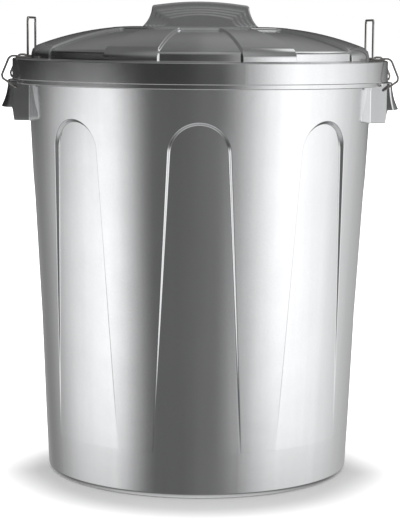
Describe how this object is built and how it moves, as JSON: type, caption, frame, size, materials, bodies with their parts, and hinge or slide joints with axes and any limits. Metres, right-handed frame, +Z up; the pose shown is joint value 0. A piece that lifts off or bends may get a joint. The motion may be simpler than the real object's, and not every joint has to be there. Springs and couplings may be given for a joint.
{
  "type": "plastic trash can with lid",
  "caption": "Round tapered plastic bin with panelled wall, side handles, a domed lift-off lid with a grip, and wire clips that hold the lid down.",
  "frame": {"origin": "middle of the base, on the floor", "axes": "+Z up, X through the two handles and clips, -Y is the side that faces the viewer; the grip on the lid runs along X"},
  "size_m": [0.45, 0.424, 0.5313],
  "materials": {
    "silver_plastic": "silver pigmented polypropylene, moulded gloss",
    "plated_wire": "bright plated steel wire"
  },
  "bodies": {
    "bin": {"bin_body": "silver_plastic"},
    "lid": {"lid": "silver_plastic"},
    "bail_left": {"bail_left": "plated_wire"},
    "bail_right": {"bail_right": "plated_wire"}
  },
  "joints": [
    {"name": "lid_lift", "type": "slide", "parent": "bin", "child": "lid", "axis": [0, 0, 1], "range_m": [0, 0.3]},
    {"name": "bail_left_swing", "type": "hinge", "parent": "bin", "child": "bail_left", "pos_m": [-0.20403, 0, 0.4347], "axis": [0, -1, 0], "range_deg": [0, 130]},
    {"name": "bail_right_swing", "type": "hinge", "parent": "bin", "child": "bail_right", "pos_m": [0.20403, 0, 0.4347], "axis": [0, 1, 0], "range_deg": [0, 130]}
  ]
}
